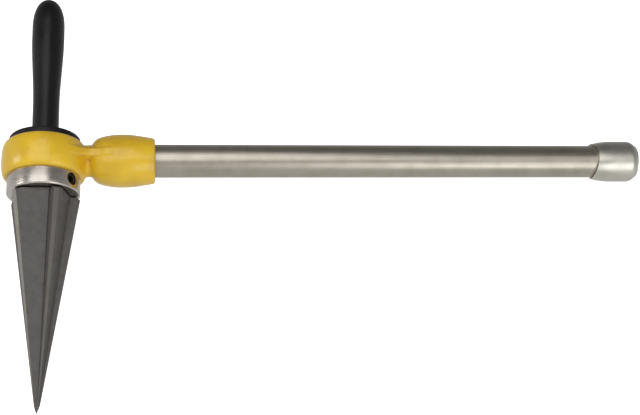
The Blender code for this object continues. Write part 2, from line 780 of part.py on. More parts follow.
def make_cover_screws():
    """The socket-head screws that hold the cover plate."""
    screws = []
    head_top = PLATE_TOP - GAP
    head_bottom = head_top - COVER_SCREW_HEAD_HEIGHT
    tip = head_bottom - COVER_SCREW_LENGTH
    profile = [
        (0, head_top),
        (COVER_SCREW_HEAD_RADIUS, head_top),
        (COVER_SCREW_HEAD_RADIUS, head_bottom),
        (COVER_SCREW_RADIUS, head_bottom),
        (COVER_SCREW_RADIUS, tip),
        (0, tip),
    ]
    for number, angle in enumerate(cover_screw_angles(), 1):
        screw = turned(f"cover_screw_{number}", profile, SMALL_ROUND_STEPS)
        hexagon = cylinder(
            "hexagon", COVER_SCREW_HEAD_RADIUS * 0.5, head_top - 1.2 * MM, head_top + OVERSHOOT, 6
        )
        screw = cut(screw, hexagon)
        screw.location = (*on_circle(COVER_SCREW_CIRCLE, angle), 0)
        screws.append(screw)
    return screws


def make_spindle():
    """The spindle that is screwed into the hub and that the grip turns on."""
    groove_bottom = GRIP_RING_BOTTOM - GAP
    groove_top = GRIP_RING_BOTTOM + GRIP_RING_THICKNESS + GAP
    groove_radius = SPINDLE_RADIUS - SNAP_GROOVE_DEPTH
    flange_bottom = HUB_TOP + GAP
    flange_top = PLATE_BOTTOM - 2 * GAP
    profile = [
        (0, SPINDLE_TOP),
        (SPINDLE_RADIUS - 1 * MM, SPINDLE_TOP),
        (SPINDLE_RADIUS, SPINDLE_TOP - 1 * MM),
        (SPINDLE_RADIUS, groove_top),
        (groove_radius, groove_top),
        (groove_radius, groove_bottom),
        (SPINDLE_RADIUS, groove_bottom),
        (SPINDLE_RADIUS, flange_top),
        (SPINDLE_FLANGE_RADIUS, flange_top),
        (SPINDLE_FLANGE_RADIUS, flange_bottom),
        (SPINDLE_RADIUS, flange_bottom),
        (SPINDLE_RADIUS, HUB_TOP - SPINDLE_THREAD),
        (0, HUB_TOP - SPINDLE_THREAD),
    ]
    return turned("feed_spindle", profile, MEDIUM_ROUND_STEPS)


def grip_radius(height):
    """The outer radius of the grip at a height above its bottom end."""
    dome_start = GRIP_LENGTH - GRIP_DOME_HEIGHT
    if height > dome_start:
        share = min(1, (height - dome_start) / GRIP_DOME_HEIGHT)
        return GRIP_RADIUS * (1 - share**GRIP_DOME_POWER) ** (1 / GRIP_DOME_POWER)
    share = (height - GRIP_SWELL_START) / (GRIP_SWELL_END - GRIP_SWELL_START)
    share = min(1, max(0, share))
    swell = share * share * (3 - 2 * share)
    return GRIP_NECK_RADIUS + (GRIP_RADIUS - GRIP_NECK_RADIUS) * swell


def make_grip():
    """The revolving grip: a long swelling handle with a domed end, bored for the spindle."""
    dome_start = GRIP_LENGTH - GRIP_DOME_HEIGHT
    dome_steps = 8
    body_steps = 9
    heights = [
        dome_start + GRIP_DOME_HEIGHT * math.cos(math.radians(90) * step / dome_steps)
        for step in range(dome_steps)
    ]
    heights += [dome_start * (1 - step / body_steps) for step in range(body_steps + 1)]
    outer = [(grip_radius(height), GRIP_BOTTOM + height) for height in heights]
    outer[0] = (0, GRIP_BOTTOM + GRIP_LENGTH)
    bore = SPINDLE_RADIUS + GAP
    bore_top = GRIP_BOTTOM + GRIP_BORE_DEPTH
    groove_radius = SPINDLE_RADIUS - SNAP_GROOVE_DEPTH + GRIP_RING_WIDTH + 2 * GAP
    groove_bottom = GRIP_RING_BOTTOM - GAP
    groove_top = GRIP_RING_BOTTOM + GRIP_RING_THICKNESS + GAP
    profile = [
        *outer,
        (bore, GRIP_BOTTOM),
        (bore, groove_bottom),
        (groove_radius, groove_bottom),
        (groove_radius, groove_top),
        (bore, groove_top),
        (bore, bore_top),
        (0, bore_top),
    ]
    return turned("feed_grip", profile, MEDIUM_ROUND_STEPS)


# ---------------------------------------------------------------- assembly


def resting_normal():
    """The way up, seen from the tool, when it lies on its ring, the cutter's point and the cap.

    The result is in the axes of the tool laid flat: X along the handle, Y towards the grip, Z up.
    """
    cap_shoulder = CAP_END - CAP_CORNER
    normal = Vector((0, 0, 1))
    for _ in range(30):
        across = math.hypot(normal.x, normal.z)
        along = math.hypot(normal.y, normal.z)
        support = min(normal.y * height - radius * across for radius, height in ring_profile())
        x = (support + CAP_RADIUS * along) / cap_shoulder
        y = (support + CUTTER_SMALL_RADIUS * across) / POINT_START
        normal = Vector((x, y, math.sqrt(1 - x * x - y * y)))
    return normal


def add_empty(name, parent=None):
    """An empty that carries pieces."""
    empty = bpy.data.objects.new(name, None)
    empty.empty_display_size = 0.05
    empty.parent = parent
    bpy.context.scene.collection.objects.link(empty)
    return empty


def add_to_body(empty, collection, material, *shapes):
    """Gives pieces their material, hangs them on an empty and files them in the tool's collection."""
    for shape in shapes:
        shape.data.materials.clear()
        shape.data.materials.append(material)
        shape.parent = empty
        for old in list(shape.users_collection):
            old.objects.unlink(shape)
        collection.objects.link(shape)


def lowest_and_highest(shapes):
    """Opposite corners of the box around all of the pieces, in world axes."""
    bpy.context.view_layer.update()
    corners = [shape.matrix_world @ vertex.co for shape in shapes for vertex in shape.data.vertices]
    low = Vector([min(corner[axis] for corner in corners) for axis in range(3)])
    high = Vector([max(corner[axis] for corner in corners) for axis in range(3)])
    return low, high


def build():
    """Makes every piece, hangs it on the body that it moves with and lays the tool down."""
    for leftover in list(bpy.data.objects):
        bpy.data.objects.remove(leftover)

    yellow_paint = make_material("yellow_paint", (0.71, 0.44, 0.035), 0.35, 0)
    pipe_steel = make_material("pipe_steel", (0.42, 0.40, 0.36), 0.35, 1)
    cap_metal = make_material("cap_metal", (0.72, 0.70, 0.64), 0.25, 1)
    collar_steel = make_material("collar_steel", (0.58, 0.54, 0.50), 0.35, 1)
    cutter_steel = make_material("cutter_steel", (0.12, 0.11, 0.10), 0.45, 1)
    dark_oxide = make_material("dark_oxide", (0.02, 0.02, 0.02), 0.4, 1)
    bare_steel = make_material("bare_steel", (0.45, 0.45, 0.45), 0.35, 1)
    black_plastic = make_material("black_plastic", (0.02, 0.02, 0.022), 0.35, 0)

    tool = add_empty("tool")
    reamer_axis = add_empty("reamer_axis", tool)
    grip_axis = add_empty("grip_axis", reamer_axis)
    pawl_axis = add_empty("pawl_axis", tool)

    pieces = bpy.data.collections.new("ratchet_pipe_reamer")
    bpy.context.scene.collection.children.link(pieces)

    add_to_body(tool, pieces, yellow_paint, make_head())
    add_to_body(tool, pieces, pipe_steel, make_pipe())
    add_to_body(tool, pieces, cap_metal, make_end_cap())
    add_to_body(tool, pieces, bare_steel, make_spring_seat(), make_spring(), make_washer())
    add_to_body(tool, pieces, dark_oxide, make_cover_plate(), *make_cover_screws())
    add_to_body(pawl_axis, pieces, bare_steel, make_pawl())

    hub_ring = make_snap_ring(
        "gear_snap_ring",
        HUB_RADIUS - SNAP_GROOVE_DEPTH + GAP,
        SNAP_RING_WIDTH,
        SNAP_RING_BOTTOM,
        SNAP_RING_THICKNESS,
        SNAP_RING_OPENING,
    )
    grip_ring = make_snap_ring(
        "grip_snap_ring",
        SPINDLE_RADIUS - SNAP_GROOVE_DEPTH + GAP,
        GRIP_RING_WIDTH,
        GRIP_RING_BOTTOM,
        GRIP_RING_THICKNESS,
        SPINDLE_RADIUS,
    )
    add_to_body(reamer_axis, pieces, collar_steel, make_collar())
    add_to_body(reamer_axis, pieces, cutter_steel, make_cutter())
    add_to_body(reamer_axis, pieces, dark_oxide, *make_set_screws())
    add_to_body(reamer_axis, pieces, bare_steel, make_gear(), make_key(), hub_ring, make_spindle(), grip_ring)
    add_to_body(grip_axis, pieces, black_plastic, make_grip())

    lay_down = Matrix.Rotation(math.radians(-90), 4, "X")
    settle = resting_normal().rotation_difference(Vector((0, 0, 1))).to_matrix().to_4x4()
    tool.matrix_world = settle @ lay_down
    low, high = lowest_and_highest(pieces.objects)
    footprint_middle = Vector(((low.x + high.x) / 2, (low.y + high.y) / 2, low.z))
    tool.matrix_world = Matrix.Translation(-footprint_middle) @ tool.matrix_world


build()
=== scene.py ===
"""Looks of a ratcheting pipe reamer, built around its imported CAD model.

The tool lies on a bench, tilted on its ring, its cutter's point and its end cap. Every piece is made in the
tool's own axes and then laid down with it: Z along the cutter towards the grip, X along the handle, and -Y
the side that faces up on the bench. All sizes are in metres.
"""

import json
import math

import bmesh
import bpy
import numpy as np
from mathutils import Matrix, Vector


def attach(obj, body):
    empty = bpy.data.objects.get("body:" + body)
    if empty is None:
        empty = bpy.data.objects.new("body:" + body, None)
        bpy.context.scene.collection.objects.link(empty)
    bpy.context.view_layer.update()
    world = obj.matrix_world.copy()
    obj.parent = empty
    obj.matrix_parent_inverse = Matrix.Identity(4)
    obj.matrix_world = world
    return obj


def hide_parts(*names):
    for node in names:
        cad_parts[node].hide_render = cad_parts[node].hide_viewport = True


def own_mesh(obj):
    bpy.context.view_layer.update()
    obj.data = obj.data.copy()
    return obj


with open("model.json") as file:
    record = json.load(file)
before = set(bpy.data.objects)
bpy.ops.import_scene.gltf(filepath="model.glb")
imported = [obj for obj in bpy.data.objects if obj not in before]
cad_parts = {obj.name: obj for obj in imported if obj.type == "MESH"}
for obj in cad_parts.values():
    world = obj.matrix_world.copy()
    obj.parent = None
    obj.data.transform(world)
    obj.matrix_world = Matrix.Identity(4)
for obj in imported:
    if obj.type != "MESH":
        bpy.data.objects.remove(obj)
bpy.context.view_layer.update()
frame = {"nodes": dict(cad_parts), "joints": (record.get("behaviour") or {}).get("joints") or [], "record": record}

MM = 0.001
NEAR = 0.05 * MM
CLEARANCE = 0.3 * MM
WELD_DISTANCE = 0.002 * MM

# ---------------------------------------------------------------- the tool's axes and sizes, from the CAD

joints = {joint["name"]: joint for joint in frame["joints"]}
cutter_axis = Vector(joints["reamer_spin"]["axis"]).normalized()
handle_axis = Vector(joints["pawl_slide"]["axis"]).normalized()
back_axis = cutter_axis.cross(handle_axis)
LAY_DOWN = Matrix((handle_axis, back_axis, cutter_axis)).transposed().to_4x4()
LAY_DOWN.translation = Vector(joints["reamer_spin"]["pos_m"])
STAND_UP = LAY_DOWN.inverted()


def tool_points(node):
    """All corners of a CAD node, in the tool's own axes."""
    mesh = frame["nodes"][node].data
    corners = np.empty(len(mesh.vertices) * 3, np.float32)
    mesh.vertices.foreach_get("co", corners)
    turn = np.array(STAND_UP.to_3x3())
    return corners.reshape(-1, 3) @ turn.T + np.array(STAND_UP.translation)


def from_cutter_axis(points):
    """Distance of each point from the cutter's axis."""
    return np.hypot(points[:, 0], points[:, 1])


def from_handle_axis(points):
    """Distance of each point from the handle's axis."""
    return np.hypot(points[:, 1], points[:, 2])


BEYOND_NECK = 45 * MM

head = tool_points("ratchet_head")
ring = head[head[:, 0] < 0]
RING_RADIUS = from_cutter_axis(ring).max()
RING_TOP = ring[:, 2].max()
RING_BOTTOM = ring[:, 2].min()
ring_top_edge = from_cutter_axis(ring[ring[:, 2] > RING_TOP - NEAR])
CHAMBER_RADIUS = ring_top_edge.min()
RING_EDGE_RADIUS = ring_top_edge.max()
JOURNAL_RADIUS = from_cutter_axis(ring[ring[:, 2] < RING_BOTTOM + NEAR]).min()
SOCKET_END = head[:, 0].max()
SOCKET_RADIUS = from_handle_axis(head[head[:, 0] > BEYOND_NECK]).max()
SOCKET_BORE = from_handle_axis(head[head[:, 0] > SOCKET_END - NEAR]).min()

pipe = tool_points("handle_tube")
PIPE_START = pipe[:, 0].min()
PIPE_END = pipe[:, 0].max()
PIPE_RADIUS = from_handle_axis(pipe).max()
PIPE_BORE = from_handle_axis(pipe).min()

cap = tool_points("handle_end_cap")
CAP_START = cap[:, 0].min()
CAP_END = cap[:, 0].max()
CAP_RADIUS = from_handle_axis(cap).max()
CAP_FACE_RADIUS = from_handle_axis(cap[cap[:, 0] > CAP_END - NEAR]).max()
CAP_MOUTH_RADIUS = from_handle_axis(cap[cap[:, 0] < CAP_START + NEAR]).max()
cap_mouth_line = cap[(abs(cap[:, 2]) < MM) & (cap[:, 0] < CAP_START + CAP_RADIUS)]
CAP_BOW = cap_mouth_line[:, 0].min() - CAP_START
cap_bore = cap[from_handle_axis(cap) < PIPE_RADIUS + 0.5 * MM]
CAP_BORE = from_handle_axis(cap_bore).max()
CAP_BORE_END = cap_bore[cap_bore[:, 0] < CAP_END - MM][:, 0].max()

plate = tool_points("cover_plate")
PLATE_RADIUS = from_cutter_axis(plate).max()
PLATE_HOLE = from_cutter_axis(plate).min()
PLATE_BOTTOM = plate[:, 2].min()
PLATE_TOP = plate[:, 2].max()

collar = tool_points("drive_collar")
COLLAR_RADIUS = from_cutter_axis(collar).max()
collar_rim = collar[from_cutter_axis(collar) > COLLAR_RADIUS - NEAR]
COLLAR_TOP = collar_rim[:, 2].max()
COLLAR_BOTTOM = collar[:, 2].min()
COLLAR_CHAMFER = collar_rim[:, 2].min() - COLLAR_BOTTOM
HUB_TOP = collar[:, 2].max()
SHANK_BORE = from_cutter_axis(collar[collar[:, 2] < COLLAR_BOTTOM + NEAR]).min()

cutter = tool_points("reamer_cutter")
cutter_r = from_cutter_axis(cutter)
CUTTER_RADIUS = cutter_r.max()
CUTTER_EDGE_HEIGHT = cutter[cutter_r > CUTTER_RADIUS - NEAR][:, 2].mean()
CUTTER_POINT = cutter[:, 2].min()
CUTTER_TOP = cutter[cutter_r > SHANK_BORE + 5 * MM][:, 2].max()
CUTTER_TOP_RADIUS = from_cutter_axis(cutter[abs(cutter[:, 2] - CUTTER_TOP) < NEAR]).max()
TANG_TOP = cutter[:, 2].max()

grip = tool_points("feed_grip")
GRIP_BOTTOM = grip[:, 2].min()
GRIP_TOP = grip[:, 2].max()
GRIP_RADIUS = from_cutter_axis(grip).max()
grip_foot = from_cutter_axis(grip[grip[:, 2] < GRIP_BOTTOM + NEAR])
GRIP_NECK_RADIUS = grip_foot.max()
GRIP_BORE = grip_foot.min()

# ---------------------------------------------------------------- mesh code


def loft(rows, closed=False, ring=True):
    """A surface through rows of points. A row of one point is a pole, and without ring a row stays open."""
    corners = []
    starts = []
    for row in rows:
        starts.append(len(corners))
        corners.extend(row)
    faces = []
    pairs = list(zip(range(len(rows)), range(1, len(rows))))
    if closed:
        pairs.append((len(rows) - 1, 0))
    for upper, lower in pairs:
        count = max(len(rows[upper]), len(rows[lower]))
        for index in range(count if ring else count - 1):
            following = (index + 1) % count
            upper_here, upper_next = (index, following) if len(rows[upper]) > 1 else (0, 0)
            lower_here, lower_next = (index, following) if len(rows[lower]) > 1 else (0, 0)
            face = (
                starts[upper] + upper_here,
                starts[lower] + lower_here,
                starts[lower] + lower_next,
                starts[upper] + upper_next,
            )
            faces.append(tuple(dict.fromkeys(face)))
    mesh = bpy.data.meshes.new("loft")
    mesh.from_pydata([tuple(corner) for corner in corners], [], faces)
    return mesh


def clean(mesh):
    """Merges doubled corners and points every face outwards."""
    shaper = bmesh.new()
    shaper.from_mesh(mesh)
    bmesh.ops.remove_doubles(shaper, verts=shaper.verts, dist=0.001 * MM)
    bmesh.ops.recalc_face_normals(shaper, faces=shaper.faces)
    shaper.to_mesh(mesh)
    shaper.free()
    return mesh


ON_AXIS = 1e-7
STRAIGHT = math.radians(176)


def lathe(profile, steps=160):
    """A turned shape about Z from (radius, height) points; a profile off the axis closes on itself."""
    turns = [2 * math.pi * step / steps for step in range(steps)]
    rows = []
    for radius, height in profile:
        if radius < ON_AXIS:
            rows.append([(0, 0, height)])
        else:
            rows.append([(radius * math.cos(turn), radius * math.sin(turn), height) for turn in turns])
    return clean(loft(rows, closed=profile[0][0] > ON_AXIS))


def bar(radius, low, high, steps=96):
    """A plain round bar about Z, for joining or for cutting a bore."""
    return lathe([(0, high), (radius, high), (radius, low), (0, low)], steps)


def along_handle(mesh):
    """Turns a shape that was made about Z so that its axis is the handle's, and its top faces +X."""
    mesh.transform(Matrix.Rotation(math.radians(90), 4, "Y"))
    return mesh


def radial(mesh, height, direction):
    """Turns a shape that was made about Z so that it points out from the cutter's axis, at a height on it."""
    out = Matrix.Rotation(math.radians(90), 4, "Y")
    mesh.transform(Matrix.Translation((0, 0, height)) @ Matrix.Rotation(direction, 4, "Z") @ out)
    return mesh


def fillet(points, radius, steps=5):
    """Rounds the inner corners of an open line of points with arcs, smaller where a side is short."""
    rounded = [points[0]]
    for before, corner, after in zip(points, points[1:], points[2:]):
        here = Vector(corner)
        back = Vector(before) - here
        ahead = Vector(after) - here
        turn = back.angle(ahead)
        if turn > STRAIGHT:
            rounded.append(corner)
            continue
        reach = min(radius / math.tan(turn / 2), 0.45 * back.length, 0.45 * ahead.length)
        start = here + back.normalized() * reach
        end = here + ahead.normalized() * reach
        for step in range(steps + 1):
            t = step / steps
            rounded.append(tuple(start * (1 - t) ** 2 + here * 2 * t * (1 - t) + end * t**2))
    rounded.append(points[-1])
    return rounded


def smooth_line(controls, steps):
    """Points of a smooth curve through the controls, with the given number of steps between two."""
    padded = [controls[0], *controls, controls[-1]]
    points = []
    for four in zip(padded, padded[1:], padded[2:], padded[3:]):
        before, start, end, after = (Vector(control) for control in four)
        leave = (end - before) / 2
        arrive = (after - start) / 2
        bend = 3 * (end - start) - 2 * leave - arrive
        twist = 2 * (start - end) + leave + arrive
        for step in range(steps):
            t = step / steps
            points.append(tuple(start + leave * t + bend * t**2 + twist * t**3))
    return points + [controls[-1]]


def work_object(name, mesh):
    """A mesh in the scene while it is being shaped."""
    shape = bpy.data.objects.new(name, mesh)
    bpy.context.scene.collection.objects.link(shape)
    return shape


def take_mesh(shape):
    """The mesh that an object's modifiers make; the object is removed."""
    depsgraph = bpy.context.evaluated_depsgraph_get()
    mesh = bpy.data.meshes.new_from_object(shape.evaluated_get(depsgraph))
    bpy.data.objects.remove(shape)
    return mesh


def combine(mesh, tools, operation):
    """Joins meshes to a mesh, or cuts them out of it."""
    for tool in tools:
        shape = work_object("shape", mesh)
        helper = work_object("helper", tool)
        boolean = shape.modifiers.new("combine", "BOOLEAN")
        boolean.operation = operation
        boolean.object = helper
        mesh = take_mesh(shape)
        bpy.data.objects.remove(helper)
    return mesh


def melt(mesh, passes):
    """Melts joined shapes into one skin, and rounds the corners between them a little more each pass."""
    shape = work_object("melt", mesh)
    remesh = shape.modifiers.new("melt", "REMESH")
    remesh.mode = "VOXEL"
    remesh.voxel_size = CASTING_GRAIN
    soften = shape.modifiers.new("soften", "SMOOTH")
    soften.factor = 0.5
    soften.iterations = passes
    return take_mesh(shape)


def piece(name, mesh, body, nodes, material=None, sharp=32):
    """Lays a finished mesh down with the tool and makes it the piece that stands for its CAD nodes.

    Without a material it keeps those that its node tree set. Edges sharper than the given degrees stay crisp.
    """
    mesh.transform(LAY_DOWN)
    if material:
        mesh.materials.clear()
        mesh.materials.append(material)
    mesh.shade_smooth()
    mesh.set_sharp_from_angle(angle=math.radians(sharp))
    mesh.name = name
    made = work_object(name, mesh)
    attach(made, body)
    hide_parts(*nodes)
    return made


# ---------------------------------------------------------------- node trees, for materials and for shapes


def add(tree, kind, inputs=None, **settings):
    """Adds a node with its settings; each input takes a value or another node's output."""
    made = tree.nodes.new(kind)
    for name, value in settings.items():
        setattr(made, name, value)
    for key, value in (inputs or {}).items():
        if isinstance(value, bpy.types.NodeSocket):
            tree.links.new(value, made.inputs[key])
        else:
            made.inputs[key].default_value = value
    return made


def shape_tree(name, **inputs):
    """A new Geometry Nodes tree with a named input of each given kind; gives the tree and its inputs."""
    tree = bpy.data.node_groups.new(name, "GeometryNodeTree")
    tree.interface.new_socket("Shape", in_out="INPUT", socket_type="NodeSocketGeometry")
    for label, kind in inputs.items():
        tree.interface.new_socket(label.replace("_", " "), in_out="INPUT", socket_type=f"NodeSocket{kind}")
    tree.interface.new_socket("Shape", in_out="OUTPUT", socket_type="NodeSocketGeometry")
    return tree, add(tree, "NodeGroupInput").outputs


def finish_shape(tree, shape, finishes):
    """Ends a tree: makes its copies real and sets each finish on the faces that carry its mark."""
    shape = add(tree, "GeometryNodeRealizeInstances", {"Geometry": shape}).outputs["Geometry"]
    welding = {"Geometry": shape, "Distance": WELD_DISTANCE}
    shape = add(tree, "GeometryNodeMergeByDistance", welding).outputs["Geometry"]
    for mark, finish in finishes:
        inputs = {"Geometry": shape, "Material": finish}
        if mark:
            marked = add(tree, "GeometryNodeInputNamedAttribute", {"Name": mark}, data_type="BOOLEAN")
            inputs["Selection"] = marked.outputs["Attribute"]
        shape = add(tree, "GeometryNodeSetMaterial", inputs).outputs["Geometry"]
    add(tree, "NodeGroupOutput", {"Shape": shape})


def grow(tree, mesh, **values):
    """Runs a tree on a mesh with the given input values, and gives the mesh that it makes."""
    shape = work_object("grown", mesh)
    modifier = shape.modifiers.new("grow", "NODES")
    modifier.node_group = tree
    for socket in tree.interface.items_tree:
        label = socket.name.replace(" ", "_")
        if socket.in_out == "INPUT" and label in values:
            modifier[socket.identifier] = values[label]
    return take_mesh(shape)


def around_cutter_axis(finishes):
    """A tree that repeats a shape around the cutter's axis, evenly spaced, and welds copies that meet."""
    tree, inputs = shape_tree("around_cutter_axis", Count="Int")
    spots = add(tree, "GeometryNodePoints", {"Count": inputs["Count"]})
    step = add(tree, "ShaderNodeMath", {0: 2 * math.pi, 1: inputs["Count"]}, operation="DIVIDE")
    index = add(tree, "GeometryNodeInputIndex")
    angle = add(tree, "ShaderNodeMath", {0: step.outputs[0], 1: index.outputs[0]}, operation="MULTIPLY")
    turn = add(tree, "ShaderNodeCombineXYZ", {"Z": angle.outputs[0]})
    copies = add(
        tree,
        "GeometryNodeInstanceOnPoints",
        {"Points": spots.outputs[0], "Instance": inputs["Shape"], "Rotation": turn.outputs[0]},
    )
    finish_shape(tree, copies.outputs[0], finishes)
    return tree


def coil_spring(finish):
    """A tree that winds round wire into a coil spring about Z, from its foot at the origin."""
    tree, inputs = shape_tree(
        "coil_spring", Turns="Float", Coil_Radius="Float", Wire_Radius="Float", Length="Float"
    )
    helix = add(
        tree,
        "GeometryNodeCurveSpiral",
        {
            "Resolution": 40,
            "Rotations": inputs["Turns"],
            "Start Radius": inputs["Coil Radius"],
            "End Radius": inputs["Coil Radius"],
            "Height": inputs["Length"],
        },
    )
    wire = add(tree, "GeometryNodeCurvePrimitiveCircle", {"Resolution": 16, "Radius": inputs["Wire Radius"]})
    coil = add(
        tree,
        "GeometryNodeCurveToMesh",
        {"Curve": helix.outputs[0], "Profile Curve": wire.outputs[0], "Fill Caps": True},
    )
    finish_shape(tree, coil.outputs[0], [(None, finish)])
    return tree


# ---------------------------------------------------------------- materials


def linear(hex_colour):
    """An sRGB hex colour as linear RGBA."""
    channels = [int(hex_colour[start : start + 2], 16) / 255 for start in (0, 2, 4)]
    turned = [value / 12.92 if value <= 0.04045 else ((value + 0.055) / 1.055) ** 2.4 for value in channels]
    return (*turned, 1)


def new_finish(name):
    """An empty material: its node tree, and the coordinates of the tool's own axes in it."""
    material = bpy.data.materials.new(name)
    material.use_nodes = True
    tree = material.node_tree
    tree.nodes.clear()
    coordinates = add(tree, "ShaderNodeTexCoord")
    upright = add(
        tree,
        "ShaderNodeMapping",
        {
            "Vector": coordinates.outputs["Object"],
            "Location": STAND_UP.translation,
            "Rotation": STAND_UP.to_euler(),
        },
    )
    return material, tree, upright.outputs["Vector"]


def noise(tree, place, size, detail=2.0):
    """Cloudy noise whose features are about the given size."""
    inputs = {"Vector": place, "Scale": 1 / size, "Detail": detail}
    return add(tree, "ShaderNodeTexNoise", inputs).outputs["Fac"]


def mix(tree, share, first, second):
    """A colour that drifts between two hex colours."""
    colours = {0: share, 6: linear(first), 7: linear(second)}
    return add(tree, "ShaderNodeMix", colours, data_type="RGBA").outputs[2]


def spread(tree, value, low, high, start=0.0, end=1.0):
    """Maps a value's range onto another range."""
    inputs = {"Value": value, "From Min": start, "From Max": end, "To Min": low, "To Max": high}
    return add(tree, "ShaderNodeMapRange", inputs).outputs["Result"]


def bump(tree, height, depth, under=None):
    """Relief of a real depth, on top of another relief if there is one."""
    inputs = {"Height": height, "Strength": 1.0, "Distance": depth}
    if under:
        inputs["Normal"] = under
    return add(tree, "ShaderNodeBump", inputs).outputs["Normal"]


def shade(tree, **inputs):
    """Ends a material with one Principled shader; underscores in a name stand for spaces."""
    named = {name.replace("_", " "): value for name, value in inputs.items()}
    shader = add(tree, "ShaderNodeBsdfPrincipled", named)
    add(tree, "ShaderNodeOutputMaterial", {"Surface": shader.outputs[0]})


def gloss_enamel():
    """Yellow gloss enamel on sand-cast iron: dipped, so its colour drifts a little and its skin is uneven."""
    material, tree, place = new_finish("gloss_enamel")
    drift = noise(tree, place, 22 * MM, 3.0)
    casting = noise(tree, place, 5.5 * MM, 3.0)
    peel = noise(tree, place, 1.2 * MM, 1.0)
    cast_skin = bump(tree, casting, 0.17 * MM)
    shade(
        tree,
        Base_Color=mix(tree, spread(tree, drift, 0, 1, 0.35, 0.65), "EFC526", "DDB122"),
        Roughness=spread(tree, casting, 0.26, 0.38),
        IOR=1.5,
        Coat_Weight=0.4,
        Coat_Roughness=0.1,
        Normal=bump(tree, peel, 0.012 * MM, cast_skin),
    )
    return material


def worked_steel(name, clean_hex, worn_hex, roughness, stretch, groove):
    """Bare steel worked in one direction: satin, with fine marks along it and faint stains from handling.

    The stretch gives how many marks there are to a metre along each axis of the tool.
    """
    material, tree, place = new_finish(name)
    along = add(tree, "ShaderNodeMapping", {"Vector": place, "Scale": stretch}).outputs["Vector"]
    marks = noise(tree, along, 1.0, 4.0)
    stains = noise(tree, place, 13 * MM, 5.0)
    shade(
        tree,
        Base_Color=mix(tree, spread(tree, stains, 0, 1, 0.42, 0.72), clean_hex, worn_hex),
        Metallic=1.0,
        Roughness=spread(tree, marks, roughness - 0.07, roughness + 0.07, 0.3, 0.7),
        Normal=bump(tree, marks, groove),
    )
    return material


def hardened_steel(name, light_hex, dark_hex, roughness):
    """Carbon steel under the scale of its hardening bath: a dark, even, matt oxide without metal's shine."""
    material, tree, place = new_finish(name)
    scale = noise(tree, place, 6 * MM, 5.0)
    grit = noise(tree, place, 0.7 * MM, 2.0)
    shade(
        tree,
        Base_Color=mix(tree, spread(tree, scale, 0, 1, 0.35, 0.65), light_hex, dark_hex),
        Roughness=spread(tree, scale, roughness - 0.05, roughness + 0.05, 0.3, 0.7),
        IOR=1.6,
        Normal=bump(tree, grit, 0.01 * MM),
    )
    return material


def moulded_phenolic():
    """Black phenolic moulding: smooth and half glossy, a little duller where hands have polished it."""
    material, tree, place = new_finish("moulded_phenolic")
    handling = noise(tree, place, 9 * MM, 3.0)
    grain = noise(tree, place, 0.8 * MM, 2.0)
    shade(
        tree,
        Base_Color=mix(tree, handling, "0F0F10", "141415"),
        Roughness=spread(tree, handling, 0.30, 0.40, 0.3, 0.7),
        IOR=1.4,
        Normal=bump(tree, grain, 0.008 * MM),
    )
    return material


def black_oxide():
    """Machined steel blackened in hot oxide and oiled: nearly black, with a low satin sheen."""
    material, tree, place = new_finish("black_oxide")
    bloom = noise(tree, place, 4 * MM, 4.0)
    shade(
        tree,
        Base_Color=mix(tree, bloom, "1C1A1C", "2A282A"),
        Metallic=0.6,
        Roughness=spread(tree, bloom, 0.36, 0.48, 0.3, 0.7),
    )
    return material


enamel = gloss_enamel()
pipe_steel = worked_steel("drawn_pipe_steel", "BBB4A8", "AFA89B", 0.36, (12, 1300, 1300), 0.012 * MM)
cap_steel = worked_steel("pressed_cap_steel", "D2D0C6", "C8C5B9", 0.38, (60, 60, 60), 0.012 * MM)
collar_steel = worked_steel("turned_collar_steel", "CFC8C0", "BDB5AD", 0.27, (15, 15, 1800), 0.03 * MM)
hidden_steel = worked_steel("machined_steel", "ADADAB", "989894", 0.35, (300, 300, 300), 0.01 * MM)
land_steel = worked_steel("ground_land_steel", "8A8681", "807C77", 0.42, (900, 900, 60), 0.008 * MM)
back_steel = hardened_steel("milled_back_steel", "524E4A", "4B4744", 0.50)
# The flutes carry the same dark hardening scale as the backs, but painted a little lighter to stand in for light
# in their shaded gullets: painted light.
flute_scale_painted_light = hardened_steel("scaled_flute_steel", "5E5A56", "56524F", 0.55)
phenolic = moulded_phenolic()
oxide = black_oxide()

# ---------------------------------------------------------------- ratchet head

RING_BULGE_POWER = 2.5
SOCKET_START = 37.0 * MM
SOCKET_CORNER = 2.8 * MM
SOCKET_MOUTH_INSET = 2.6 * MM
SOCKET_BORE_RELIEF = 3.6 * MM
PLATE_GAP = 0.5 * MM
CHAMBER_FLOOR = -6.0 * MM
NECK_START = 22.0 * MM
NECK_END = 49.0 * MM
NECK_HALF_HEIGHT = 13.5 * MM
NECK_HALF_THICKNESS = 8.5 * MM
WEB_HALF_THICKNESS = 3.1 * MM
CASTING_GRAIN = 0.65 * MM
CASTING_PASSES = 34
WEB_PASSES = 3


def ring_side(steps=40):
    """The barrel-shaped outer side of the ring, from its top edge to its bottom edge."""
    middle = (RING_TOP + RING_BOTTOM) / 2
    half = (RING_TOP - RING_BOTTOM) / 2
    points = []
    for step in range(steps + 1):
        share = math.cos(math.pi * step / steps)
        bulge = (1 - abs(share) ** RING_BULGE_POWER) ** (1 / RING_BULGE_POWER)
        points.append((RING_EDGE_RADIUS + (RING_RADIUS - RING_EDGE_RADIUS) * bulge, middle + half * share))
    return points


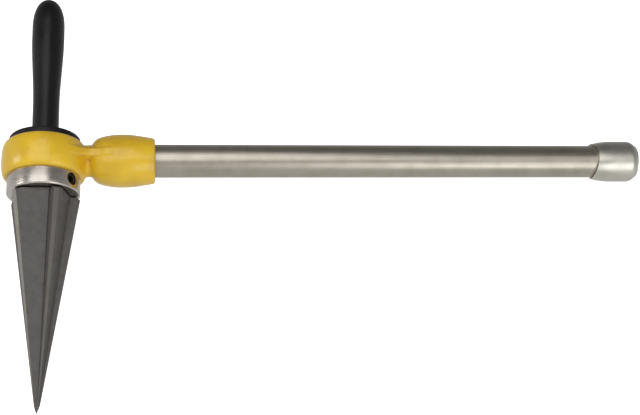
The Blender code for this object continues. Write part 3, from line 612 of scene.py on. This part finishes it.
def socket_side():
    """The outer side of the pipe socket, from the rounded corner at its mouth back to the neck.

    Each control is a share of the socket's length from the neck, and how far it lies inside the widest part.
    """
    length = SOCKET_END - SOCKET_START
    mouth = SOCKET_RADIUS - SOCKET_MOUTH_INSET
    shoulders = [(0.81, 1.5), (0.62, 0.2), (0.40, 0.05), (0.25, 1.0), (0.13, 2.6), (0.06, 4.6), (0.0, 8.6)]
    controls = [(mouth, SOCKET_END - SOCKET_CORNER)]
    controls += [(SOCKET_RADIUS - inset * MM, SOCKET_START + share * length) for share, inset in shoulders]
    flank = smooth_line(controls, 6)
    return [(0, SOCKET_END), (mouth - SOCKET_CORNER * 0.2, SOCKET_END), *flank, (0, SOCKET_START)]


def neck_core():
    """The upright core of the neck: an oval column between the ring and the socket."""
    turns = [2 * math.pi * step / 48 for step in range(48)]
    rows = [
        [(x, NECK_HALF_THICKNESS * math.cos(turn), NECK_HALF_HEIGHT * math.sin(turn)) for turn in turns]
        for x in (NECK_START, NECK_END)
    ]
    return clean(loft([[(NECK_START, 0, 0)], *rows, [(NECK_END, 0, 0)]]))


def neck_web():
    """The waisted web across the middle of the neck, a little proud of the ring and the socket.

    Each place along its side is a distance from the cutter's axis and half the web's width there, in mm.
    """
    places = [(19, 27.4), (22, 25.9), (26, 23.3), (31, 20.6), (37, 19.0), (43, 19.7), (49, 21.3), (55, 21.2)]
    side = smooth_line([(x * MM, y * MM) for x, y in places], 4)
    outline = side + [(x, -y) for x, y in reversed(side)]
    rows = [[(x, y, z) for x, y in outline] for z in (WEB_HALF_THICKNESS, -WEB_HALF_THICKNESS)]
    middle = (NECK_START + NECK_END) / 2
    return clean(loft([[(middle, 0, WEB_HALF_THICKNESS)], *rows, [(middle, 0, -WEB_HALF_THICKNESS)]]))


def make_head():
    """The casting: its body melted together with soft fillets, a crisper web, and crisp machined bores."""
    ring_solid = lathe([(0, RING_TOP), *ring_side(), (0, RING_BOTTOM)], 128)
    socket = along_handle(lathe(socket_side(), 96))
    rough = melt(combine(ring_solid, [neck_core(), socket], "UNION"), CASTING_PASSES)
    casting = melt(combine(rough, [neck_web()], "UNION"), WEB_PASSES)
    beyond = RING_RADIUS
    cuts = [
        bar(PLATE_RADIUS + PLATE_GAP, RING_TOP, RING_TOP + beyond),
        bar(1.2 * RING_RADIUS, RING_BOTTOM - beyond, RING_BOTTOM),
        bar(CHAMBER_RADIUS, CHAMBER_FLOOR, RING_TOP + beyond),
        bar(JOURNAL_RADIUS, RING_BOTTOM - beyond, 0),
        along_handle(bar(SOCKET_BORE, PIPE_START - SOCKET_BORE_RELIEF, SOCKET_END + beyond)),
    ]
    return combine(casting, cuts, "DIFFERENCE")


piece("head_casting", make_head(), "handle", ["ratchet_head"], enamel)

# ---------------------------------------------------------------- handle

CAP_FLARE = 17.0 * MM
PIPE_EDGE = 0.4 * MM


def make_pipe():
    """The steel pipe, with slightly rounded ends."""
    corners = [
        (PIPE_BORE, (PIPE_START + PIPE_END) / 2),
        (PIPE_BORE, PIPE_END),
        (PIPE_RADIUS, PIPE_END),
        (PIPE_RADIUS, PIPE_START),
        (PIPE_BORE, PIPE_START),
        (PIPE_BORE, (PIPE_START + PIPE_END) / 2 - MM),
    ]
    return along_handle(lathe(fillet(corners, PIPE_EDGE)))


def make_cap():
    """The end cap: a bowed mouth, a flare over the pipe, and a well rounded nose with a flat end."""
    corner = CAP_RADIUS - CAP_FACE_RADIUS
    flare = CAP_RADIUS - CAP_MOUTH_RADIUS
    profile = [(0, CAP_END), (CAP_FACE_RADIUS * 0.8, CAP_END)]
    for step in range(17):
        turn = math.radians(90) * step / 16
        profile.append((CAP_FACE_RADIUS + corner * math.sin(turn), CAP_END - corner * (1 - math.cos(turn))))
    for step in range(17):
        share = 1 - step / 16
        swell = math.sin(math.radians(90) * share)
        profile.append((CAP_MOUTH_RADIUS + flare * swell, CAP_START + CAP_FLARE * share))
    profile += [(CAP_BORE, CAP_START), (CAP_BORE, CAP_BORE_END), (0, CAP_BORE_END)]
    shell = along_handle(lathe(profile))
    bow_radius = (CAP_MOUTH_RADIUS**2 + CAP_BOW**2) / (2 * CAP_BOW)
    scoop = bar(bow_radius, -2 * CAP_RADIUS, 2 * CAP_RADIUS, 192)
    upright = Matrix.Rotation(math.radians(90), 4, "X")
    scoop.transform(Matrix.Translation((CAP_START + CAP_BOW - bow_radius, 0, 0)) @ upright)
    return combine(shell, [scoop], "DIFFERENCE")


piece("pipe_handle", make_pipe(), "handle", ["handle_tube"], pipe_steel)
piece("pressed_end_cap", make_cap(), "handle", ["handle_end_cap"], cap_steel)

# ---------------------------------------------------------------- screws, each kind repeated around the axis

COVER_SOCKET_DEPTH = 1.2 * MM
CLAMP_SOCKET_DEPTH = 5.0 * MM

around_axis_in_oxide = around_cutter_axis([(None, oxide)])


def hexagon_socket(radius, depth):
    """The cutting shape of a hexagon socket in a screw whose top is at the origin."""
    return lathe([(0, MM), (radius, MM), (radius, -depth), (0, -depth)], 6)


def socket_head_screw(head_radius, head_height, shank_radius, length):
    """A cap screw about Z, its top at the origin, with a hexagon socket."""
    corners = [
        (0, 0),
        (head_radius, 0),
        (head_radius, -head_height),
        (shank_radius, -head_height),
        (shank_radius, -length),
        (0, -length),
    ]
    body = lathe(fillet(corners, 0.3 * MM, 4), 48)
    return combine(body, [hexagon_socket(head_radius * 0.5, COVER_SOCKET_DEPTH)], "DIFFERENCE")


def make_cover_screws():
    """The three screws of the cover, from the place and the size of the first."""
    first = tool_points("cover_screw_1")
    low = first.min(0)
    high = first.max(0)
    middle = (low + high) / 2
    under_head = first[first[:, 2] < low[2] + NEAR]
    shank_radius = (under_head.max(0) - under_head.min(0))[0] / 2
    head_radius = (high - low)[0] / 2
    rim = first[np.hypot(first[:, 0] - middle[0], first[:, 1] - middle[1]) > head_radius - NEAR]
    head_height = high[2] - rim[:, 2].min()
    screw = socket_head_screw(head_radius, head_height, shank_radius, high[2] - low[2])
    screw.transform(Matrix.Translation((middle[0], middle[1], high[2])))
    return grow(around_axis_in_oxide, screw, Count=3), middle, head_radius, head_height


cover_screws, COVER_SCREW_PLACE, COVER_SCREW_HEAD, COVER_SCREW_HEIGHT = make_cover_screws()
cover_nodes = [f"cover_screw_{number}" for number in (1, 2, 3)]
piece("cover_screws", cover_screws, "handle", cover_nodes)

clamp = tool_points("set_screw_1")
CLAMP_HEIGHT = clamp[:, 2].mean()
CLAMP_DIRECTION = math.atan2(clamp[:, 1].mean(), clamp[:, 0].mean())
CLAMP_REACH = (clamp[:, 0] * math.cos(CLAMP_DIRECTION) + clamp[:, 1] * math.sin(CLAMP_DIRECTION)).max()
CLAMP_RADIUS = (clamp[:, 2].max() - clamp[:, 2].min()) / 2


def make_clamp_screws():
    """The two headless screws that clamp the cutter's shank, opposite each other."""
    length = CLAMP_REACH - SHANK_BORE
    body = lathe(fillet([(0, 0), (CLAMP_RADIUS, 0), (CLAMP_RADIUS, -length), (0, -length)], 0.7 * MM, 4), 64)
    screw = combine(body, [hexagon_socket(0.6 * CLAMP_RADIUS, CLAMP_SOCKET_DEPTH)], "DIFFERENCE")
    screw.transform(Matrix.Translation((0, 0, CLAMP_REACH)))
    return grow(around_axis_in_oxide, radial(screw, CLAMP_HEIGHT, CLAMP_DIRECTION), Count=2)


piece("clamp_screws", make_clamp_screws(), "reamer", ["set_screw_1", "set_screw_2"])

# ---------------------------------------------------------------- cover plate

PLATE_EDGE = 1.2 * MM
SEAT_DEPTH = 0.6 * MM


def make_plate():
    """The black cover plate, with a rounded rim and sunk seats for its screws."""
    middle = (PLATE_TOP + PLATE_BOTTOM) / 2
    corners = [
        (PLATE_HOLE, middle + 0.1 * MM),
        (PLATE_HOLE, PLATE_TOP),
        (PLATE_RADIUS, PLATE_TOP),
        (PLATE_RADIUS, PLATE_BOTTOM),
        (PLATE_HOLE, PLATE_BOTTOM),
        (PLATE_HOLE, middle - 0.1 * MM),
    ]
    shell = lathe(fillet(corners, PLATE_EDGE))
    seat = PLATE_TOP - COVER_SCREW_HEIGHT - SEAT_DEPTH
    sink = bar(COVER_SCREW_HEAD + CLEARANCE, seat, PLATE_TOP + 5 * MM, 48)
    sink.transform(Matrix.Translation((COVER_SCREW_PLACE[0], COVER_SCREW_PLACE[1], 0)))
    return combine(shell, [grow(around_axis_in_oxide, sink, Count=3)], "DIFFERENCE")


piece("cover_disc", make_plate(), "handle", ["cover_plate"], oxide)

# ---------------------------------------------------------------- drive collar

HUB_RADIUS = 14.0 * MM
JOURNAL_TOP = -6.3 * MM
SHANK_BORE_DEPTH = 21.0 * MM


def make_collar():
    """The collar that grips the cutter: turned flange with a bright chamfer, and two screw holes."""
    bore_end = COLLAR_BOTTOM + SHANK_BORE_DEPTH
    corners = [
        (0, HUB_TOP),
        (HUB_RADIUS, HUB_TOP),
        (HUB_RADIUS, JOURNAL_TOP),
        (JOURNAL_RADIUS - CLEARANCE, JOURNAL_TOP),
        (JOURNAL_RADIUS - CLEARANCE, COLLAR_TOP),
        (COLLAR_RADIUS, COLLAR_TOP),
        (COLLAR_RADIUS, COLLAR_BOTTOM + COLLAR_CHAMFER),
        (COLLAR_RADIUS - COLLAR_CHAMFER, COLLAR_BOTTOM),
        (SHANK_BORE, COLLAR_BOTTOM),
        (SHANK_BORE, bore_end),
        (0, bore_end),
    ]
    shell = lathe(fillet(corners, 0.25 * MM, 3), 192)
    drill = bar(CLAMP_RADIUS + CLEARANCE, SHANK_BORE - MM, COLLAR_RADIUS + 5 * MM)
    hole = radial(drill, CLAMP_HEIGHT, CLAMP_DIRECTION)
    return combine(shell, [grow(around_axis_in_oxide, hole, Count=2)], "DIFFERENCE")


piece("collar", make_collar(), "reamer", ["drive_collar"], collar_steel)

# ---------------------------------------------------------------- cutter, one blade repeated around its axis

BLADES = 5
BLADE_PITCH = 2 * math.pi / BLADES
FIRST_EDGE = math.radians(21.5 - 90)
BLADE_LAND = 4.4 * MM
LAND_RELIEF = 0.3 * MM
FLUTE_DEPTH = 8.8 * MM
POINT_LENGTH = 6.5 * MM
CUTTER_SMALL_RADIUS = 2.4 * MM
CUTTER_POINT_START = CUTTER_POINT + POINT_LENGTH
SHOULDER_RADIUS = 16.0 * MM
TANG_SIDE = 15.0 * MM
SHANK_LENGTH = 22.0 * MM
OVERLAP = 2.0 * MM


def on_circle(radius, angle):
    """The point of a circle about the cutter's axis."""
    return Vector((radius * math.cos(angle), radius * math.sin(angle)))


def blade_line():
    """One blade of the section at radius 1, from its edge round to the next: land, back, flute and face."""
    land_angle = BLADE_LAND / CUTTER_RADIUS
    heel = on_circle(1 - LAND_RELIEF / CUTTER_RADIUS, land_angle)
    root = 1 - FLUTE_DEPTH / CUTTER_RADIUS
    foot = on_circle(root + 0.03, 0.93 * BLADE_PITCH)
    edge = on_circle(1, 0)
    next_edge = on_circle(1, BLADE_PITCH)
    land = [edge.lerp(heel, step / 4) for step in range(4)]
    back = [heel.lerp(foot, step / 24) for step in range(24)]
    bends = [
        foot,
        on_circle(root, 0.955 * BLADE_PITCH),
        on_circle(root, 0.97 * BLADE_PITCH),
        on_circle(root + 0.03, 0.983 * BLADE_PITCH),
        on_circle(root + 0.09, 0.988 * BLADE_PITCH),
    ]
    gullet = [Vector(point) for point in smooth_line([tuple(bend) for bend in bends], 5)]
    face = [gullet[-1].lerp(next_edge, step / 4) for step in range(1, 5)]
    return land + back + gullet + face, len(land), len(land) + len(back)


def blade_size(height):
    """How large the section is at a height, and how far out its blades may reach there."""
    share = (CUTTER_EDGE_HEIGHT - height) / (CUTTER_EDGE_HEIGHT - CUTTER_POINT_START)
    size = CUTTER_RADIUS + (CUTTER_SMALL_RADIUS - CUTTER_RADIUS) * share
    if height > CUTTER_EDGE_HEIGHT:
        rise = (height - CUTTER_EDGE_HEIGHT) / (CUTTER_TOP - CUTTER_EDGE_HEIGHT)
        return size, CUTTER_RADIUS + (CUTTER_TOP_RADIUS - CUTTER_RADIUS) * rise
    if height < CUTTER_POINT_START:
        return size, CUTTER_SMALL_RADIUS * (height - CUTTER_POINT) / POINT_LENGTH
    return size, CUTTER_RADIUS


def make_blade():
    """One blade as an open strip from its edge to the next blade's, closed to the axis at both ends."""
    line, land_end, back_end = blade_line()
    heights = [CUTTER_TOP + (CUTTER_EDGE_HEIGHT - CUTTER_TOP) * step / 6 for step in range(6)]
    drop = CUTTER_POINT_START - CUTTER_EDGE_HEIGHT
    heights += [CUTTER_EDGE_HEIGHT + drop * step / 30 for step in range(30)]
    heights += [CUTTER_POINT_START - POINT_LENGTH * step / 8 for step in range(8)]
    rows = []
    for height in heights:
        size, reach = blade_size(height)
        row = []
        for point in line:
            radius = min(point.length * size, reach)
            around = FIRST_EDGE + math.atan2(point.y, point.x)
            row.append((*on_circle(radius, around), height))
        rows.append(row)
    mesh = loft([[(0, 0, CUTTER_TOP)], *rows, [(0, 0, CUTTER_POINT)]], ring=False)
    on_land = mesh.attributes.new("land", "BOOLEAN", "FACE")
    on_flute = mesh.attributes.new("flute", "BOOLEAN", "FACE")
    across = len(line) - 1
    for face in range(across, len(mesh.polygons) - across):
        on_land.data[face].value = face % across < land_end
        on_flute.data[face].value = face % across >= back_end
    return mesh


def make_cutter():
    """The fluted taper with its ground lands and dark flutes, and the shank and tang inside the collar. The
    flutes' scale is painted a little lighter than the backs' as painted light in their shaded gullets.
    """
    tree = around_cutter_axis([(None, back_steel), ("land", land_steel), ("flute", flute_scale_painted_light)])
    blades = clean(grow(tree, make_blade(), Count=BLADES))
    shank_top = CUTTER_TOP + SHANK_LENGTH
    shoulder = bar(SHOULDER_RADIUS, CUTTER_TOP - OVERLAP, COLLAR_BOTTOM - CLEARANCE)
    shank = bar(SHANK_BORE - CLEARANCE, CUTTER_TOP - OVERLAP, shank_top)
    corner = TANG_SIDE / 2 * math.sqrt(2)
    tang_foot = shank_top - OVERLAP
    tang_line = [(0, TANG_TOP), (corner, TANG_TOP), (corner, tang_foot), (0, tang_foot)]
    tang = lathe(fillet(tang_line, 0.5 * MM, 2), 4)
    tang.transform(Matrix.Rotation(math.radians(45), 4, "Z"))
    return combine(blades, [shoulder, shank, tang], "UNION")


piece("fluted_cutter", make_cutter(), "reamer", ["reamer_cutter"], sharp=12)

# ---------------------------------------------------------------- feed grip

GRIP_SWELL_START = 29.5 * MM
GRIP_SWELL_END = 92.5 * MM
GRIP_DOME_HEIGHT = 26.0 * MM
GRIP_DOME_POWER = 2.3
GRIP_BORE_DEPTH = 106.0 * MM
GRIP_LENGTH = GRIP_TOP - GRIP_BOTTOM
GRIP_DOME_START = GRIP_LENGTH - GRIP_DOME_HEIGHT


def grip_radius(height):
    """The outer radius of the grip at a height above its bottom end."""
    if height > GRIP_DOME_START:
        share = min(1, (height - GRIP_DOME_START) / GRIP_DOME_HEIGHT)
        return GRIP_RADIUS * (1 - share**GRIP_DOME_POWER) ** (1 / GRIP_DOME_POWER)
    share = min(1, max(0, (height - GRIP_SWELL_START) / (GRIP_SWELL_END - GRIP_SWELL_START)))
    return GRIP_NECK_RADIUS + (GRIP_RADIUS - GRIP_NECK_RADIUS) * share * share * (3 - 2 * share)


def make_grip():
    """The revolving grip, moulded as one smooth swelling shape with a domed end."""
    dome = [math.radians(90) * step / 40 for step in range(1, 40)]
    heights = [GRIP_DOME_START + GRIP_DOME_HEIGHT * math.cos(turn) for turn in dome]
    heights += [GRIP_DOME_START * (1 - step / 60) for step in range(61)]
    outer = [(grip_radius(height), GRIP_BOTTOM + height) for height in heights]
    bore_top = GRIP_BOTTOM + GRIP_BORE_DEPTH
    return lathe([(0, GRIP_TOP), *outer, (GRIP_BORE, GRIP_BOTTOM), (GRIP_BORE, bore_top), (0, bore_top)])


piece("revolving_grip", make_grip(), "grip", ["feed_grip"], phenolic)

# ---------------------------------------------------------------- pawl spring, and the hidden steel pieces

SPRING_WIRE_RADIUS = 0.5 * MM
SPRING_TURNS = 8.0


def make_spring():
    """The pawl's spring, wound between the pawl's shoulder and its seat."""
    points = tool_points("pawl_spring")
    start = points[:, 0].min() + SPRING_WIRE_RADIUS
    end = points[:, 0].max() - SPRING_WIRE_RADIUS
    coil = grow(
        coil_spring(hidden_steel),
        bpy.data.meshes.new("spring"),
        Turns=SPRING_TURNS,
        Coil_Radius=float(from_handle_axis(points).max()) - SPRING_WIRE_RADIUS,
        Wire_Radius=SPRING_WIRE_RADIUS,
        Length=float(end - start),
    )
    coil = along_handle(clean(coil))
    coil.transform(Matrix.Translation((start, 0, 0)))
    return coil, end + SPRING_WIRE_RADIUS, end - start + 2 * SPRING_WIRE_RADIUS


spring_mesh, SPRING_END, SPRING_LENGTH = make_spring()
spring = piece("pawl_coil_spring", spring_mesh, "handle", ["pawl_spring"])
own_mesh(spring)

slots = {entry["node"]: entry["material_slot"] for entry in frame["record"]["subparts"]}
for node_name, node_object in frame["nodes"].items():
    if slots[node_name] == "bare_steel":
        node_object.data.materials.clear()
        node_object.data.materials.append(hidden_steel)

# ---------------------------------------------------------------- floor, light and camera

FLOOR_HALF = 6.0
SENSOR_WIDTH = 36
LENS = 68.41
CAMERA_PLACE = Vector((86.8, -905.7, -396.7)) * MM
CAMERA_LOOK = Vector((0.13465, 0.92219, 0.36253)).normalized()
CAMERA_UP = Vector((0.00397, -0.36636, 0.93046)).normalized()
PALE_SIDE = Vector((-0.1, -0.6, -0.8)).normalized()


def make_floor():
    """A white sheet under the tool, kept out of its reflections and of the light bounced onto it."""
    low = -FLOOR_HALF
    high = FLOOR_HALF
    mesh = bpy.data.meshes.new("floor")
    mesh.from_pydata([(low, low, 0), (high, low, 0), (high, high, 0), (low, high, 0)], [], [(0, 1, 2, 3)])
    material = bpy.data.materials.new("white_card")
    material.use_nodes = True
    tree = material.node_tree
    tree.nodes.clear()
    shade(
        tree,
        Base_Color=linear("F4F4F4"),
        Roughness=0.9,
        Specular_IOR_Level=0.0,
        Emission_Color=linear("FFFFFF"),
        Emission_Strength=0.9,
    )
    mesh.materials.append(material)
    floor = work_object("floor", mesh)
    floor.visible_glossy = False
    floor.visible_diffuse = False


def add_softbox(name, place, target, width, height, brightness):
    """A soft rectangular light at a place, aimed at a target; positions are world metres."""
    light = bpy.data.lights.new(name, "AREA")
    light.shape = "RECTANGLE"
    light.size = width
    light.size_y = height
    light.energy = brightness * math.pi * width * height
    lamp = bpy.data.objects.new(name, light)
    bpy.context.scene.collection.objects.link(lamp)
    lamp.location = place
    lamp.rotation_euler = (Vector(target) - Vector(place)).to_track_quat("-Z", "Y").to_euler()


def make_camera():
    """The camera, below the collar and above the bench, with the handle running off to the right."""
    camera = bpy.data.cameras.new("camera")
    camera.sensor_width = SENSOR_WIDTH
    camera.lens = LENS
    camera.clip_end = 50
    viewer = bpy.data.objects.new("camera", camera)
    bpy.context.scene.collection.objects.link(viewer)
    right = CAMERA_LOOK.cross(CAMERA_UP).normalized()
    turn = Matrix((right, right.cross(CAMERA_LOOK), -CAMERA_LOOK)).transposed().to_4x4()
    turn.translation = CAMERA_PLACE
    viewer.matrix_world = LAY_DOWN @ turn
    bpy.context.scene.camera = viewer


def make_studio():
    """The room around the tool: pale low down and in front, dark above and behind, with no hard edges."""
    world = bpy.data.worlds.new("studio")
    world.use_nodes = True
    tree = world.node_tree
    direction = add(tree, "ShaderNodeTexCoord").outputs["Generated"]
    towards = add(tree, "ShaderNodeVectorMath", {0: direction, 1: PALE_SIDE}, operation="DOT_PRODUCT")
    strength = spread(tree, towards.outputs["Value"], 0.12, 0.62, -0.9, 0.2)
    tree.links.new(strength, tree.nodes["Background"].inputs["Strength"])
    tree.nodes["Background"].inputs["Color"].default_value = linear("FFFFFF")
    bpy.context.scene.world = world


make_floor()
make_camera()
add_softbox("overhead", (-0.4, -0.05, 1.5), (-0.25, 0.0, 0.0), 1.4, 1.5, 1.5)
add_softbox("front_right", (0.85, -1.4, 0.8), (0.2, 0.0, 0.0), 1.3, 1.1, 1.6)
add_softbox("right", (0.95, -0.3, 1.5), (0.0, 0.0, 0.0), 1.0, 0.9, 0.7)
add_softbox("left", (-1.5, 0.07, 0.57), (-0.23, 0.0, 0.0), 0.5, 0.5, 4.0)
make_studio()
bpy.context.scene.view_settings.view_transform = "Standard"
